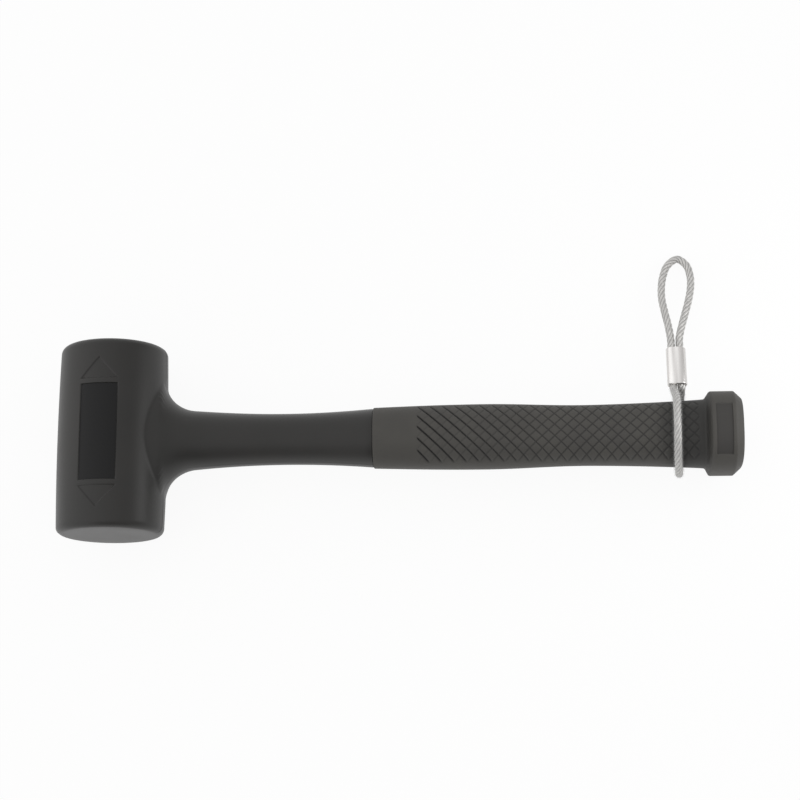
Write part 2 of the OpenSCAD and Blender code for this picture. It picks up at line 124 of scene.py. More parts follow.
def make_piece(name, points, faces, sharp=40, **marks):
    """Mesh object from points in metres and lists of faces of three or more corners, smooth but for edges
    over the sharp angle, with a value for each point in every named attribute."""
    mesh = bpy.data.meshes.new(name)
    groups = faces if isinstance(faces, list) else [faces]
    sizes = np.concatenate([np.full(len(group), group.shape[1]) for group in groups])
    corners = np.concatenate([group.ravel() for group in groups])
    mesh.vertices.add(len(points))
    mesh.vertices.foreach_set("co", np.asarray(points, np.float32).ravel())
    mesh.loops.add(len(corners))
    mesh.loops.foreach_set("vertex_index", corners.astype(np.int32))
    mesh.polygons.add(len(sizes))
    mesh.polygons.foreach_set("loop_start", (np.cumsum(sizes) - sizes).astype(np.int32))
    mesh.update(calc_edges=True)
    mesh.validate()
    mesh.polygons.foreach_set("use_smooth", np.ones(len(mesh.polygons), bool))
    mesh.set_sharp_from_angle(angle=radians(sharp))
    for mark, values in marks.items():
        attribute = mesh.attributes.new(mark, "FLOAT", "POINT")
        attribute.data.foreach_set("value", np.asarray(values, np.float32).ravel())
    piece = bpy.data.objects.new(name, mesh)
    bpy.context.scene.collection.objects.link(piece)
    return piece


def shot_balls(around, bands):
    """Balls in rows along the canister, each row one ball, a ring of 6 and a ring of 12. A ball's points go
    round it in rings from pole to pole, which meet at the poles."""
    ring = np.repeat(np.arange(len(SHOT_RINGS)), SHOT_RINGS) * SHOT_STEP
    turn = 2 * pi * np.concatenate([np.arange(count) / count for count in SHOT_RINGS])
    row = (np.arange(SHOT_ROWS)[:, None] - (SHOT_ROWS - 1) / 2) * SHOT_STEP
    centres = np.stack([ring * np.cos(turn) + 0 * row, row + 0 * ring, ring * np.sin(turn) + 0 * row], -1)
    up, side = pi * np.arange(bands + 1)[:, None] / bands, 2 * pi * np.arange(around) / around
    ball = np.stack([np.sin(up) * np.cos(side), np.sin(up) * np.sin(side), np.cos(up) + 0 * side], -1)
    points = centres.reshape(-1, 1, 3) + SHOT_D / 2 * ball.reshape(-1, 3)
    shift = ball[..., 0].size * np.arange(len(points))[:, None, None]
    return merge(points.reshape(-1, 3), (skin_faces(bands + 1, around)[:, ::-1] + shift).reshape(-1, 4))


points, faces = shot_balls(BALL_SIDES, BALL_BANDS)
shot = make_piece("shot_balls", lay_down(points), faces, sharp=80)

# Hardened steel, tumbled: grey and half dull, with scuffs about 1.5 mm across.
shot_steel, place = new_material("tumbled_steel_shot")
scuffs = add_node(shot_steel, "ShaderNodeTexNoise", {"Vector": place}, Scale=MM_PER_M / SCUFF, Detail=4.0)
share = add_node(shot_steel, "ShaderNodeMapRange", {"Value": scuffs}, From_Min=0.3, From_Max=0.7)
tone = add_node(shot_steel, "ShaderNodeMixRGB", {"Fac": share},
                Color1=linear("#6d6c6b"), Color2=linear("#9c9b99"))
polish = add_node(shot_steel, "ShaderNodeMapRange", {"Value": scuffs}, To_Min=0.25, To_Max=0.5)
shader = add_node(shot_steel, "ShaderNodeBsdfPrincipled", {"Base Color": tone, "Roughness": polish},
                  Metallic=1.0)
add_node(shot_steel, "ShaderNodeOutputMaterial", {"Surface": shader})
shot.data.materials.append(shot_steel)
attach(shot, "shot")
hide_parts("steel_shot")

# Head and neck: one moulding of charcoal polyurethane, cast round the canister and the rod in a mould
# that parts along the handle. A barrel-shaped head with rounded rims runs into a waisted oval neck by a
# fillet along the head and a web onto its round. The label panel is bare, with an arrowhead each way.
HEAD_HALF, BARREL_DROP, RIM_R = 45.1, 0.6, 3.6
BARREL_R = ((HEAD_HALF - RIM_R) ** 2 + BARREL_DROP**2) / (2 * BARREL_DROP)
FLAT_R = HEAD_R - BARREL_DROP - RIM_R
PANEL_HALF_W, PANEL_HALF_LEN, PANEL_DEPTH = 9.0, 22.9, 0.5
ARROW_FOOT, ARROW_TIP, ARROW_DEPTH = 25.5, 35.5, 0.5
MARK_TURN, MARK_WALL, ARROW_WALL = radians(6), 0.24, 0.5
NECK_H, NECK_WAIST_X, NECK_CURVE_R = 24.2, 83.0, 480.0
NECK_END_X, NECK_EDGE, NECK_EDGE_MID = 124.5, 0.4, 0.12
OVAL = 0.94
FILLET_IN_X, FILLET_LEN, FILLET_RISE = HEAD_R - 0.9, 14.5, 13.0
WEB_RISE, WEB_X, WEB_IN_X = 4.0, 48.0, 17.0
PARTING_Z, FLASH, FLASH_W = 2.8, 0.14, 0.3
WINDOW_TURN, WINDOW_HALF = radians(67), 33.0
CAVITY_R, CAVITY_HALF, CAVITY_SIDES = 20.65, 35.25, 96
BORE_R, BORE_END_X = 5.15, 21.2
CLOUD, CAST_GRAIN = 28, 0.9


def barrel_radius(y):
    """Radius of the head at a place along it: a long arc that falls to the rims."""
    return HEAD_R - y**2 / (2 * BARREL_R)


def neck_halves(x):
    """Half height and half depth of the neck: an oval waist on a long hollow curve, with a quarter-round
    fillet up the head in its height and a square-law web in its depth."""
    half = NECK_H / 2 + (np.maximum(x, FILLET_IN_X) - NECK_WAIST_X) ** 2 / (2 * NECK_CURVE_R)
    near = np.clip((FILLET_IN_X + FILLET_LEN - x) / FILLET_LEN, 0, 1)
    web = WEB_RISE * np.clip((WEB_X - np.maximum(x, WEB_IN_X)) / (WEB_X - WEB_IN_X), 0, 1) ** 2
    return half + FILLET_RISE * (1 - np.sqrt(1 - near**2)), OVAL * half + web


def marks_depth(x, y):
    """Shares of the marks' depth at a place on the upper side of the head: one inside the panel and one
    inside the two arrowheads, with narrow sloping walls."""
    panel = np.minimum(PANEL_HALF_W - np.abs(x), PANEL_HALF_LEN - np.abs(y))
    slope = PANEL_HALF_W / (ARROW_TIP - ARROW_FOOT)
    across = (slope * (ARROW_TIP - np.abs(y)) - np.abs(x)) / np.hypot(1, slope)
    arrow = np.minimum(across, np.abs(y) - ARROW_FOOT)
    return np.clip(panel / MARK_WALL + 0.5, 0, 1), np.clip(arrow / ARROW_WALL + 0.5, 0, 1)


def barrel_point(turn, y, r):
    """Point on the barrel by its turn about the head's axis from the handle's side towards the top, set in
    by the marks and set out by the low ridge of flash on the parting plane. The marks are turned a little
    away from the handle. Also gives the shares of panel and parting line."""
    x, z, away = r * np.cos(turn), r * np.sin(turn), turn - MARK_TURN
    panel, arrow = marks_depth(r * np.cos(away), y)
    panel, arrow = panel * (np.sin(away) > 0), arrow * (np.sin(away) > 0)
    parting = np.exp(-((z - PARTING_Z) / FLASH_W) ** 2) * (r > FLAT_R)
    reach = 1 - (np.maximum(PANEL_DEPTH * panel, ARROW_DEPTH * arrow) - FLASH * parting) / np.maximum(r, 1)
    return np.stack([x * reach, y + 0 * x, z * reach], -1), np.stack([panel, parting], -1)


def spread(*stops):
    """Places from one stop to the next, each stop given as (place, steps from the stop before)."""
    parts = [np.linspace(a[0], b[0], b[1] + 1)[1:] for a, b in zip(stops, stops[1:])]
    return np.concatenate([[stops[0][0]], *parts])


def grid_faces(rows, columns):
    """Four-cornered faces of a grid whose points are numbered row by row."""
    i, j = np.meshgrid(np.arange(rows - 1), np.arange(columns - 1), indexing="ij")
    a = i * columns + j
    return np.stack([a, a + 1, a + columns + 1, a + columns], -1).reshape(-1, 4)


# Lines of the barrel's mesh: round the head from one side of a window for the neck over the top and the
# back to the window's other side, across the window, and along the head, close together at the marks.
PARTING_TURN = np.arcsin(PARTING_Z / HEAD_R)
SEAM_EDGE, SEAM_LINES = 0.06, (-0.02, -0.01, 0, 0.01, 0.02, 0.06)
WALL_IN, WALL_OUT = -MARK_WALL / 2, MARK_WALL / 2
RIM_STEPS, FACE_RINGS = 8, (17, 11, 5, 0)
top_x = spread((PANEL_HALF_W + 0.8, 0), (PANEL_HALF_W + WALL_OUT, 2), (PANEL_HALF_W + WALL_IN, 1),
               (-PANEL_HALF_W - WALL_IN, 96), (-PANEL_HALF_W - WALL_OUT, 1), (-PANEL_HALF_W - 0.8, 2))
top_turn = MARK_TURN + np.arccos(top_x / HEAD_R)
back_turn = np.concatenate([
    spread((WINDOW_TURN, 0), (top_turn[0], 2))[:-1], top_turn,
    spread((top_turn[-1], 0), (pi - PARTING_TURN - SEAM_EDGE, 18),
           *[(pi - PARTING_TURN + line, 1) for line in SEAM_LINES], (2 * pi - WINDOW_TURN, 36))[1:]])
front_turn = spread((-WINDOW_TURN, 0), (PARTING_TURN - SEAM_EDGE, 20),
                    *[(PARTING_TURN + line, 1) for line in SEAM_LINES], (WINDOW_TURN, 17))
half_lines = spread((0, 0), (PANEL_HALF_LEN - 0.7, 16), (PANEL_HALF_LEN + WALL_IN, 1),
                    (PANEL_HALF_LEN + WALL_OUT, 1), (ARROW_FOOT - 0.3, 2), (WINDOW_HALF, 39),
                    (ARROW_TIP + 0.5, 15), (HEAD_HALF - RIM_R, 4))
body_y = np.concatenate([-half_lines[:0:-1], half_lines])
rim_turn = np.radians(np.linspace(0, 90, RIM_STEPS + 1))[1:]
end_y = np.concatenate([HEAD_HALF - RIM_R + RIM_R * np.sin(rim_turn), np.full(len(FACE_RINGS), HEAD_HALF)])
end_r = np.concatenate([FLAT_R + RIM_R * np.cos(rim_turn), FACE_RINGS])
all_y = np.concatenate([-end_y[::-1], body_y, end_y])
all_r = np.concatenate([end_r[::-1], barrel_radius(body_y), end_r])
in_window = np.abs(all_y) <= WINDOW_HALF + 1e-6
first_in, last_in = np.flatnonzero(in_window)[[0, -1]]
sheets = []
for turns, rows in ((back_turn, slice(None)), (front_turn, slice(0, first_in + 1)),
                    (front_turn, slice(last_in, None))):
    points, values = barrel_point(turns[None, :], all_y[rows, None], all_r[rows, None])
    sheets.append((points.reshape(-1, 3), grid_faces(*points.shape[:2])[:, ::-1], values.reshape(-1, 2)))

# The window's border, anticlockwise seen from the handle. Each of its points looks at one point of the
# crease where the neck meets the barrel.
window_y = all_y[in_window]
steps_across, steps_along = len(front_turn) - 1, len(window_y) - 1
border_turn = np.concatenate([front_turn[:-1], np.full(steps_along, WINDOW_TURN),
                              front_turn[:0:-1], np.full(steps_along, -WINDOW_TURN)])
border_y = np.concatenate([np.full(steps_across, WINDOW_HALF), window_y[:0:-1],
                           np.full(steps_across, -WINDOW_HALF), window_y[:-1]])
look = np.arctan2(HEAD_R * np.sin(border_turn), border_y)
root_half, root_depth = neck_halves(HEAD_R - 0.2)[0], neck_halves(WEB_IN_X)[1]
oval_turn = np.arctan2(np.sin(look) / root_depth, np.cos(look) / root_half)
CREASE_LOW, CREASE_HIGH, HALVINGS = 8.0, HEAD_R + 0.5, 40
PATCH_RINGS, PATCH_POWER, NECK_RINGS, NECK_POWER = 12, 1.4, 48, 1.6
SOFT_REACH, SOFT_TIMES = 7, 8


def crease_x(turn):
    """Place along the handle where the neck's surface goes into the barrel, found by halving a span."""
    low, high = np.full(turn.shape, CREASE_LOW), np.full(turn.shape, CREASE_HIGH)
    for _ in range(HALVINGS):
        x = (low + high) / 2
        half, depth = neck_halves(x)
        outside = x**2 + (depth * np.sin(turn)) ** 2 > barrel_radius(half * np.cos(turn)) ** 2
        low, high = np.where(outside, low, x), np.where(outside, x, high)
    return (low + high) / 2


def neck_point(x, turn):
    """Point on the neck by its place along the handle and its turn round the oval, with the parting ridge."""
    half, depth = neck_halves(x)
    z = depth * np.sin(turn)
    parting = np.exp(-((z - PARTING_Z) / FLASH_W) ** 2)
    points = np.stack([x + 0 * turn, half * np.cos(turn) * (1 + FLASH / half * parting), z], -1)
    return points, np.stack([0 * parting, parting], -1)


def soften(rings, middle, reach, times):
    """Rounds the crease at a middle ring: again and again each ring near it moves towards the mean of its
    neighbours, by a share that falls from a half at the middle to nothing at the reach."""
    share = 0.5 * np.clip(1 - np.abs(np.arange(len(rings)) - middle) / reach, 0, 1)[1:-1, None, None]
    for _ in range(times):
        rings[1:-1] += share * ((rings[:-2] + rings[2:]) / 2 - rings[1:-1])
    return rings


def oval_rings(turn, rows):
    """Rings about the handle's axis: each row's half height and half depth carried round the turns at its
    place along the handle."""
    x, half, depth = (np.array(rows, float)[:, k, None] for k in range(3))
    return np.stack([x + 0 * turn, half * np.cos(turn), depth * np.sin(turn)], -1)


crease = crease_x(oval_turn)
crease_half, crease_depth = neck_halves(crease)
crease_y = crease_half * np.cos(oval_turn)
crease_turn = np.arctan2(crease_depth * np.sin(oval_turn), crease)
share = np.linspace(1, 0, PATCH_RINGS + 1)[:, None] ** PATCH_POWER
patch_y = crease_y + (border_y - crease_y) * share
patch_turn = crease_turn + (border_turn - crease_turn) * share
patch, patch_values = barrel_point(patch_turn, patch_y, barrel_radius(patch_y))
share = (np.arange(1, NECK_RINGS + 1) / NECK_RINGS)[:, None] ** NECK_POWER
neck, neck_values = neck_point(crease + (NECK_END_X - NECK_EDGE - crease) * share, oval_turn[None, :])
limb = soften(np.concatenate([patch, neck]), PATCH_RINGS, SOFT_REACH, SOFT_TIMES)
end_half, end_depth = neck_halves(NECK_END_X)
end_rings = oval_rings(oval_turn, [
    (NECK_END_X - NECK_EDGE_MID, end_half - NECK_EDGE_MID, end_depth - NECK_EDGE_MID),
    (NECK_END_X, end_half - NECK_EDGE, end_depth - NECK_EDGE),
    (NECK_END_X, BORE_R, BORE_R), (BORE_END_X, BORE_R, BORE_R), (BORE_END_X, 0, 0)])
limb = np.concatenate([limb, end_rings])
limb_values = np.concatenate([patch_values, neck_values, 0 * end_rings[..., :2]])
sheets.append((limb.reshape(-1, 3), skin_faces(*limb.shape[:2]), limb_values.reshape(-1, 2)))
cavity = oval_rings(2 * pi * np.arange(CAVITY_SIDES) / CAVITY_SIDES, [
    (-CAVITY_HALF, 0, 0), (-CAVITY_HALF, CAVITY_R, CAVITY_R),
    (CAVITY_HALF, CAVITY_R, CAVITY_R), (CAVITY_HALF, 0, 0)])[..., [1, 0, 2]]
sheets.append((cavity.reshape(-1, 3), skin_faces(*cavity.shape[:2]), 0 * cavity.reshape(-1, 3)[:, :2]))
starts = np.cumsum([0] + [len(points) for points, _, _ in sheets[:-1]])
points, faces, values = merge(np.concatenate([points for points, _, _ in sheets]),
                              np.concatenate([quads + start for (_, quads, _), start in zip(sheets, starts)]),
                              np.concatenate([values for _, _, values in sheets]))
casing = make_piece("head_moulding", lay_down(points), faces, sharp=38, parting=values[:, 1])
in_panel = np.concatenate([values[group, 0].min(1) > 0.5 for group in faces])
casing.data.polygons.foreach_set("material_index", in_panel.astype(np.int32))

# Cast polyurethane, charcoal: satin, with a fine moulded grain, drawn at 0.9 mm so that it shows, slow cloudy
# changes of tone from the mould release, and a darker parting line.
urethane, place = new_material("cast_polyurethane_charcoal")
cloud = add_node(urethane, "ShaderNodeTexNoise", {"Vector": place}, Scale=MM_PER_M / CLOUD, Detail=4.0)
grain = add_node(urethane, "ShaderNodeTexNoise", {"Vector": place}, Scale=MM_PER_M / CAST_GRAIN, Detail=3.0)
share = add_node(urethane, "ShaderNodeMapRange", {"Value": cloud}, From_Min=0.3, From_Max=0.7)
tone = add_node(urethane, "ShaderNodeMixRGB", {"Fac": share},
                Color1=linear("#1b1a18"), Color2=linear("#22201e"))
parting = add_node(urethane, "ShaderNodeAttribute", attribute_name="parting").outputs["Fac"]
tone = add_node(urethane, "ShaderNodeMixRGB", {"Fac": parting, "Color1": tone}, Color2=linear("#0c0c0c"))
polish = add_node(urethane, "ShaderNodeMapRange", {"Value": cloud}, To_Min=0.36, To_Max=0.48)
bump = add_node(urethane, "ShaderNodeBump", {"Height": grain}, Strength=0.12, Distance=0.0002)
shader = add_node(urethane, "ShaderNodeBsdfPrincipled",
                  {"Base Color": tone, "Roughness": polish, "Normal": bump}, IOR=1.5)
add_node(urethane, "ShaderNodeOutputMaterial", {"Surface": shader})
casing.data.materials.append(urethane)

# Ground of the label panel: the same urethane, cast on a part of the mould that was roughened by sparks,
# which leaves fine pits, drawn as coarse as the grain so that they show, and takes most of the shine. Its far
# darker colour than the urethane round it is painted shade, for the pits and the sunken panel.
panel_ground, place = new_material("cast_polyurethane_spark_finish_and_painted_shade")
pits = add_node(panel_ground, "ShaderNodeTexNoise", {"Vector": place},
                Scale=MM_PER_M / CAST_GRAIN, Detail=3.0)
share = add_node(panel_ground, "ShaderNodeMapRange", {"Value": pits}, From_Min=0.3, From_Max=0.7)
# Painted shade: the panel's ground is drawn far darker than the urethane round it.
tone = add_node(panel_ground, "ShaderNodeMixRGB", {"Fac": share},
                Color1=linear("#0a0a0b"), Color2=linear("#0e0e0f"))
bump = add_node(panel_ground, "ShaderNodeBump", {"Height": pits}, Strength=0.12, Distance=0.0002)
shader = add_node(panel_ground, "ShaderNodeBsdfPrincipled", {"Base Color": tone, "Normal": bump},
                  Roughness=0.42, IOR=1.5, Specular_IOR_Level=0.28)
add_node(panel_ground, "ShaderNodeOutputMaterial", {"Surface": shader})
casing.data.materials.append(panel_ground)
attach(casing, "hammer")
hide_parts("head_casing")

# Grip: a sleeve of softer black rubber, moulded with two panels of diamond knurl and a flared butt with a
# chamfered end, and glued over the rod. The butt's upper side has a shallow bare panel.
GRIP_FRONT_X, SWELL_X, GRIP_WAIST_X, BUTT_FOOT_X = 124.55, 177.0, 223.0, 279.2
BUTT_FRONT_X, BUTT_EDGE_X, BUTT_END_X = 282.6, 293.0, 296.8
FRONT_H, SWELL_H, WAIST_H, TAIL_H, TAIL_POWER, NOSE_R = 28.6, 30.7, 28.5, 32.1, 1.65, 0.5
BUTT_H, BUTT_D, BUTT_CHAMFER = 38.4, 42.4, 3.4
GRIP_SQUARE, FOOT_SQUARE, BUTT_SQUARE = 2.2, 2.3, 2.6
KNURL_X, KNURL_COLS, KNURL_ROWS, PITCH_X, PITCH_Y = 145.2, 45, 10, 5.86, 5.52
GROOVE_DEPTH, GROOVE_HALF, GROOVE_POWER, BORDER_FADE, PAD_CROWN = 0.6, 0.5, 1.25, 0.3, 0.2
FRONT_WIDE, FRONT_DEEP, FRONT_SHALLOW, BACK_CUT, EVEN_COLS = 1.3, 1.3, 0.25, 0.7, 24
BUTT_PANEL_X, BUTT_PANEL_LEN, BUTT_PANEL_DEPTH = 283.9, 7.6, 0.5
BUTT_PANEL_Y, BUTT_PANEL_HALF = -1.6, 12.1
SHADE_FROM_X, SHADE_FADE, SHADE_END_FADE = 257.0, 10.0, 2.4
DARK_FROM, DARK_SPAN = 0.1, 2 / 3
BLOOM, RUBBER_GRAIN = 16, 1.1
ROD_END_X = 262.15
CELL, SIDE_STEPS = 8, 24


def grip_half(x):
    """Half height of the grip: a quarter sine to the palm swell, a half cosine to the waist, then a
    rising power to the foot of the butt."""
    front = np.clip((x - GRIP_FRONT_X) / (SWELL_X - GRIP_FRONT_X), 0, 1)
    middle = np.clip((x - SWELL_X) / (GRIP_WAIST_X - SWELL_X), 0, 1)
    tail = np.clip((x - GRIP_WAIST_X) / (BUTT_FOOT_X - GRIP_WAIST_X), 0, 1)
    height = (FRONT_H + (SWELL_H - FRONT_H) * np.sin(pi / 2 * front)
              + (WAIST_H - SWELL_H) * (1 - np.cos(pi * middle)) / 2 + (TAIL_H - WAIST_H) * tail**TAIL_POWER)
    return height / 2


def plain_sections(x, square=GRIP_SQUARE, even=0.0):
    """Sections along the grip: place, half height, half depth, squareness of the oval, and how far its
    points have gone over from the straight rows of the knurl to even turns round the butt."""
    return np.stack([x, grip_half(x), OVAL * grip_half(x), square + 0 * x, even + 0 * x], 1)


def butt_sections(x, share, square):
    """Sections of the flare and the butt, by the share of the way from the grip's oval to the butt's."""
    return np.stack([x, TAIL_H / 2 + (BUTT_H - TAIL_H) / 2 * share,
                     OVAL * TAIL_H / 2 + (BUTT_D - OVAL * TAIL_H) / 2 * share, square + 0 * x, 1 + 0 * x], 1)


# Sections from the rounded nose over the knurl, the foot and the flare to the butt's crown, and then its
# chamfer and flat end, given as places along the handle and how far the oval has drawn in.
nose = np.radians(np.linspace(0, 90, 5))
front = plain_sections(GRIP_FRONT_X + NOSE_R * (1 - np.cos(nose)))
front[:, 1:3] -= NOSE_R * (1 - np.sin(nose))[:, None]
knurl_end = KNURL_X + KNURL_COLS * PITCH_X / 2
to_foot = np.linspace(0, 1, 7)[1:-1]
foot_square = GRIP_SQUARE + (FOOT_SQUARE - GRIP_SQUARE) * to_foot
flare = np.linspace(0, 1, 12)
flare_share = np.interp(flare, [0, 0.12, 0.27, 0.73, 0.86, 1], [0, 0.03, 0.14, 0.86, 0.97, 1])
flare_square = FOOT_SQUARE + (BUTT_SQUARE - FOOT_SQUARE) * flare_share
panel_end = BUTT_PANEL_X + BUTT_PANEL_LEN
crown_x = spread((BUTT_FRONT_X, 0), (BUTT_PANEL_X + WALL_IN, 3), (BUTT_PANEL_X + WALL_OUT, 1),
                 (panel_end + WALL_IN, 12), (panel_end + WALL_OUT, 1), (BUTT_EDGE_X - 0.3, 2))[1:]
chamfer_x, chamfer_in = np.array([
    [BUTT_EDGE_X + 0.1, 0.1], [BUTT_EDGE_X + 0.5, 0.42], [BUTT_END_X - 0.5, BUTT_CHAMFER - 0.45],
    [BUTT_END_X - 0.12, BUTT_CHAMFER - 0.05], [BUTT_END_X, BUTT_CHAMFER + 0.4], [BUTT_END_X, 12],
    [BUTT_END_X, 17]]).T
end_cap = butt_sections(chamfer_x, 1 + 0 * chamfer_x, BUTT_SQUARE)
end_cap[:, 1:3] -= chamfer_in[:, None]
sections = np.concatenate([
    front, plain_sections(np.linspace(GRIP_FRONT_X + NOSE_R, KNURL_X, 18)[1:-1]),
    plain_sections(np.linspace(KNURL_X, knurl_end, KNURL_COLS * CELL + 1)),
    plain_sections(knurl_end + (BUTT_FOOT_X - knurl_end) * to_foot, foot_square, to_foot),
    butt_sections(BUTT_FOOT_X + (BUTT_FRONT_X - BUTT_FOOT_X) * flare, flare_share, flare_square),
    butt_sections(crown_x, 1 + 0 * crown_x, BUTT_SQUARE), end_cap])


def grip_grid(sections):
    """Points of the plain grip, ring by ring: straight rows over the upper panel, one side, rows under the
    lower panel and the other side, on ovals whose power rises towards the butt."""
    x, half, depth, square, even = (sections[:, k, None] for k in range(5))
    row = np.linspace(-1, 1, KNURL_ROWS * CELL + 1)[None, :] * KNURL_ROWS * PITCH_Y / 4
    share = (1 - even) * row / half + even * np.sign(row) * (np.abs(row) / (WAIST_H / 2)) ** (2 / square)
    height = (1 - np.abs(share) ** square) ** (1 / square)
    edge_turn = np.arcsin(share[:, -1:] ** (square / 2))
    turn = edge_turn + (pi - 2 * edge_turn) * np.linspace(0, 1, SIDE_STEPS + 1)[None, 1:-1]
    side_y = np.sin(turn) ** (2 / square)
    side_z = np.sign(np.cos(turn)) * np.abs(np.cos(turn)) ** (2 / square)
    y = half * np.concatenate([-share, -side_y, share, side_y], 1)
    z = depth * np.concatenate([height, side_z, -height, -side_z], 1)
    return np.stack([x + 0 * y, y, z], -1)


def oval_normals(points, sections):
    """Outward directions of the sections' ovals: the slope of each half's power, made one long."""
    half, power = sections[:, None, 1:3], sections[:, None, 3:4] - 1
    slope = np.sign(points[..., 1:]) * np.abs(points[..., 1:] / half) ** power / half
    slope /= np.linalg.norm(slope, axis=-1, keepdims=True)
    return np.concatenate([0 * slope[..., :1], slope], -1)


def knurl_depth(points):
    """Share of the groove's depth: two families of straight lines seen from above, one half pitch along for
    one half row across. Near the front one family is cut deep and wide and the other shallow, and towards
    the butt they even out. Depth falls from a line to its shoulders, and fades at the panel's border, and
    each pad is crowned a little from its middle to its edges."""
    u = (points[..., 0] - KNURL_X) / (PITCH_X / 2)
    v = points[..., 1] / (PITCH_Y / 2) + KNURL_ROWS / 2
    step = PITCH_X * PITCH_Y / 2 / np.hypot(PITCH_X, PITCH_Y)
    back = np.clip(u / EVEN_COLS, 0, 1)
    falling, rising = np.abs((u + v + 1) % 2 - 1), np.abs((u - v + 1) % 2 - 1)
    wide_half = GROOVE_HALF * (FRONT_WIDE + (1 - FRONT_WIDE) * back)
    deep = FRONT_DEEP + (BACK_CUT - FRONT_DEEP) * back
    shallow = FRONT_SHALLOW + (BACK_CUT - FRONT_SHALLOW) * back
    cut = np.maximum(deep * np.clip(1 - falling * step / wide_half, 0, 1) ** GROOVE_POWER,
                     shallow * np.clip(1 - rising * step / GROOVE_HALF, 0, 1) ** GROOVE_POWER)
    crown = PAD_CROWN * (1 - np.minimum(falling, rising)) ** 2
    border = np.minimum(np.minimum(u, KNURL_COLS - u), np.minimum(v, KNURL_ROWS - v))
    return np.maximum(cut, crown) * np.clip(border / BORDER_FADE, 0, 1)


skin = grip_grid(sections)
rows = KNURL_ROWS * CELL + 1
ring = 2 * (rows + SIDE_STEPS - 1)
groove = knurl_depth(skin) * (np.arange(ring) % (ring // 2) < rows)
in_x = BUTT_PANEL_LEN / 2 - np.abs(skin[..., 0] - BUTT_PANEL_X - BUTT_PANEL_LEN / 2)
in_y = BUTT_PANEL_HALF - np.abs(skin[..., 1] - BUTT_PANEL_Y)
butt_mark = np.clip(np.minimum(in_x, in_y) / MARK_WALL + 0.5, 0, 1) * (skin[..., 2] > 0)
skin = skin - oval_normals(skin, sections) * (GROOVE_DEPTH * groove + BUTT_PANEL_DEPTH * butt_mark)[..., None]
bore = oval_rings(np.arctan2(skin[0, :, 2], skin[0, :, 1]), [
    (ROD_END_X, 0, 0), (ROD_END_X, BORE_R, BORE_R), (GRIP_FRONT_X, BORE_R, BORE_R)])
skin = np.concatenate([bore, skin, np.broadcast_to([BUTT_END_X, 0, 0], (1, ring, 3))])
values = np.pad(np.stack([groove, butt_mark], -1), ((len(bore), 1), (0, 0), (0, 0)))
points, faces, values = merge(skin.reshape(-1, 3), skin_faces(len(skin), ring), values.reshape(-1, 2))
# Painted shade: the ground darkens from a little before the loop up to the butt, where the rope and the butt
# shade it.
rubbed = (np.clip((points[:, 0] - SHADE_FROM_X) / SHADE_FADE, 0, 1)
          * np.clip((BUTT_FRONT_X - points[:, 0]) / SHADE_END_FADE, 0, 1))
grip = make_piece("grip_sleeve", lay_down(points), faces, sharp=40, rubbed=rubbed, butt_panel=values[:, 1],
                  groove=np.clip((values[:, 0] - DARK_FROM) / DARK_SPAN, 0, 1))

# Moulded thermoplastic rubber, near black: matt, a fine grain, drawn at 1.1 mm so that it shows, dust-grey
# bloom, painted shade on the ground round the loop up to the butt, where the rope and the butt shade it,
# painted shade in the grooves, and a darker ground in the butt's panel.
rubber, place = new_material("moulded_grip_rubber")
bloom = add_node(rubber, "ShaderNodeTexNoise", {"Vector": place}, Scale=MM_PER_M / BLOOM, Detail=5.0)
grain = add_node(rubber, "ShaderNodeTexNoise", {"Vector": place}, Scale=MM_PER_M / RUBBER_GRAIN, Detail=3.0)
share = add_node(rubber, "ShaderNodeMapRange", {"Value": bloom}, From_Min=0.3, From_Max=0.7)
tone = add_node(rubber, "ShaderNodeMixRGB", {"Fac": share},
                Color1=linear("#3b3936"), Color2=linear("#44423e"))
# Painted shade by the butt and in the grooves; the butt's panel has a darker ground.
for mark, colour in (("rubbed", "#2a2927"), ("groove", "#0e0e0d"), ("butt_panel", "#32302e")):
    amount = add_node(rubber, "ShaderNodeAttribute", attribute_name=mark).outputs["Fac"]
    tone = add_node(rubber, "ShaderNodeMixRGB", {"Fac": amount, "Color1": tone}, Color2=linear(colour))
polish = add_node(rubber, "ShaderNodeMapRange", {"Value": bloom}, To_Min=0.55, To_Max=0.7)
bump = add_node(rubber, "ShaderNodeBump", {"Height": grain}, Strength=0.2, Distance=0.0002)
shader = add_node(rubber, "ShaderNodeBsdfPrincipled",
                  {"Base Color": tone, "Roughness": polish, "Normal": bump}, IOR=1.5)
add_node(rubber, "ShaderNodeOutputMaterial", {"Surface": shader})
grip.data.materials.append(rubber)
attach(grip, "hammer")
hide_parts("grip")

# Wire rope of the tether: galvanised steel, six strands of nine outer wires laid to the right and pressed
# close by the drawing die. One length makes a loop round the grip and an eye beyond the ferrule, where both
# of its ends stop.
ROPE_D, ROPE_LAY, STRAND_R, STRAND_WIRES, WIRE_RIPPLE = 3.7, 16.7, 0.888, 9, 0.05
ROPE_SIDES, ROPE_STEP, CREST_FROM, CREST_SPAN, SPANGLE = 96, 0.4, 0.84, 0.13, 2.2
TETHER_X, DROOP = 268.6, radians(12.075698)
LOOP_R, LEG_X, FERRULE_LEN = 18.613756, 2.01, 19.8
FERRULE_IN = LOOP_R + 6.6
FERRULE_OUT = FERRULE_IN + FERRULE_LEN

